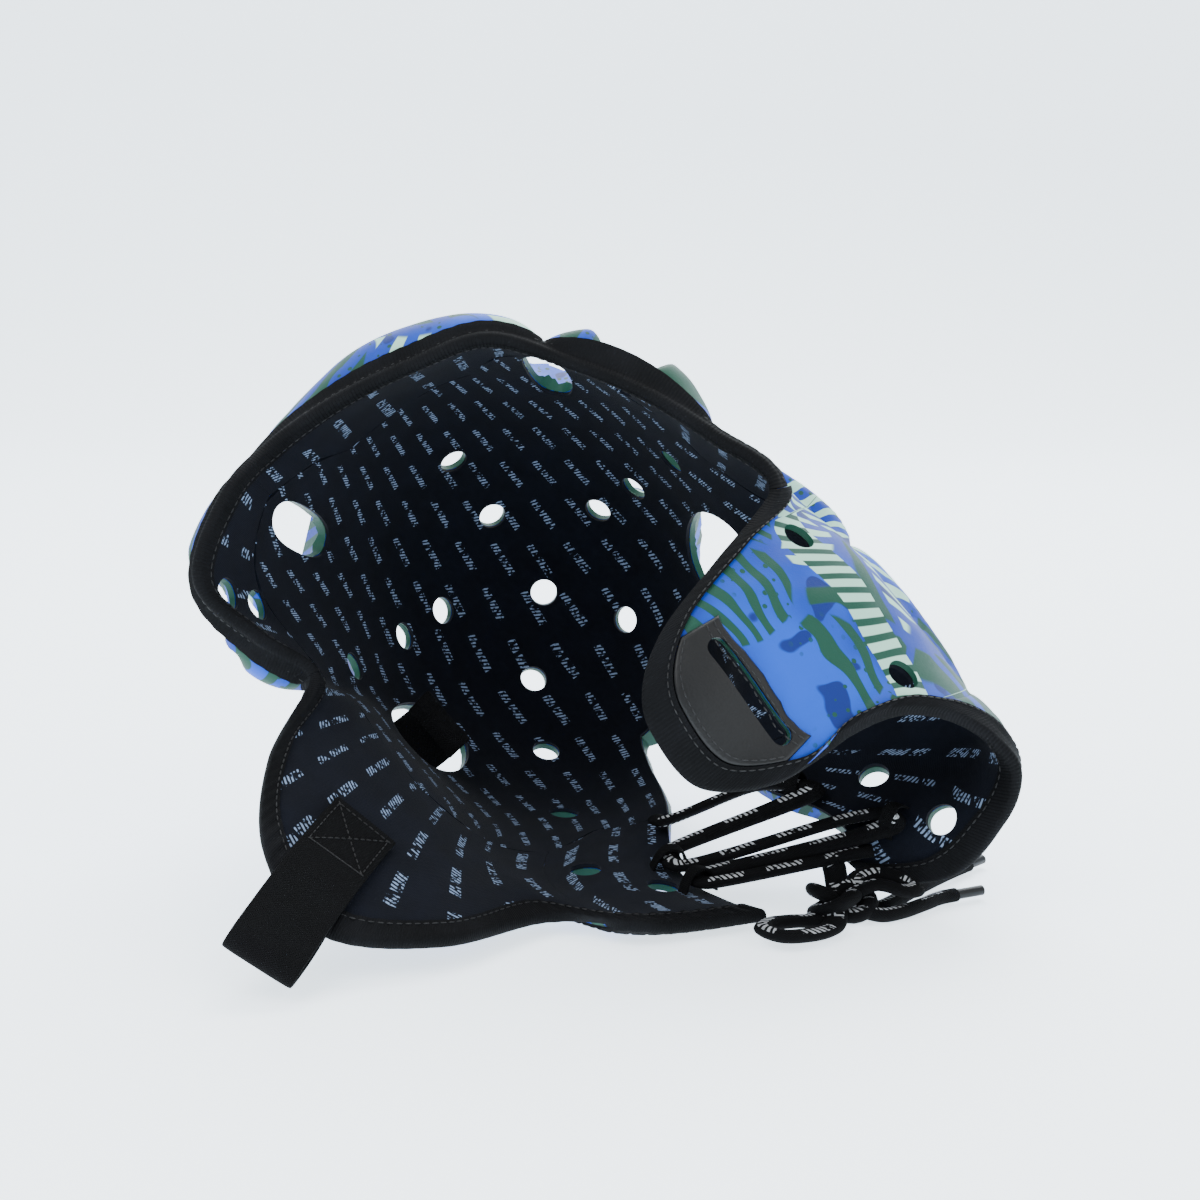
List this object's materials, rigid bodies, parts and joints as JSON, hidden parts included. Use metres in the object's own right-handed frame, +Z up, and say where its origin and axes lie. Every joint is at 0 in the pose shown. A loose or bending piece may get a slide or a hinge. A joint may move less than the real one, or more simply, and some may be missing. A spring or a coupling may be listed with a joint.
{
  "type": "rugby scrum cap",
  "caption": "Padded sports head guard lying on its back: vented quilted shell and lining, bound cheek flaps, chin strap, laced back split.",
  "frame": {"origin": "on the floor under the middle of the cap's box as it lies", "axes": "+Z up, +X to the viewer's right, which is the wearer's left side, +Y away from the viewer, towards the crown"},
  "size_m": [0.2848, 0.267, 0.2011],
  "materials": {
    "printed_cloth": "smooth stretch cloth over foam, printed blue, green and pale mint",
    "lining_cloth": "near-black knitted lining with pale dash marks",
    "binding_tape": "charcoal binding tape, stitched",
    "patch": "dark leather-look patch with a soft sheen",
    "webbing": "black woven webbing",
    "lace": "black woven lace with pale flecks",
    "aglet": "black lace tip"
  },
  "bodies": {
    "root": {"crown_shell": "printed_cloth", "forehead_band": "printed_cloth", "cheek_left": "printed_cloth", "cheek_right": "printed_cloth", "nape_left": "printed_cloth", "nape_right": "printed_cloth", "crown_lining": "lining_cloth", "forehead_band_lining": "lining_cloth", "cheek_left_lining": "lining_cloth", "cheek_right_lining": "lining_cloth", "nape_left_lining": "lining_cloth", "nape_right_lining": "lining_cloth", "face_binding": "binding_tape", "neck_binding_left": "binding_tape", "neck_binding_right": "binding_tape", "slot_patch": "patch", "chin_strap": "webbing", "lace_loop_1": "webbing", "lace_loop_2": "webbing", "lace_loop_3": "webbing", "lace_loop_4": "webbing", "lace_crossings": "lace", "lace_knot": "lace", "lace_bow_front": "lace", "lace_bow_back": "lace", "lace_end_a": "lace", "lace_end_b": "lace", "aglet_a": "aglet", "aglet_b": "aglet"}
  },
  "joints": []
}
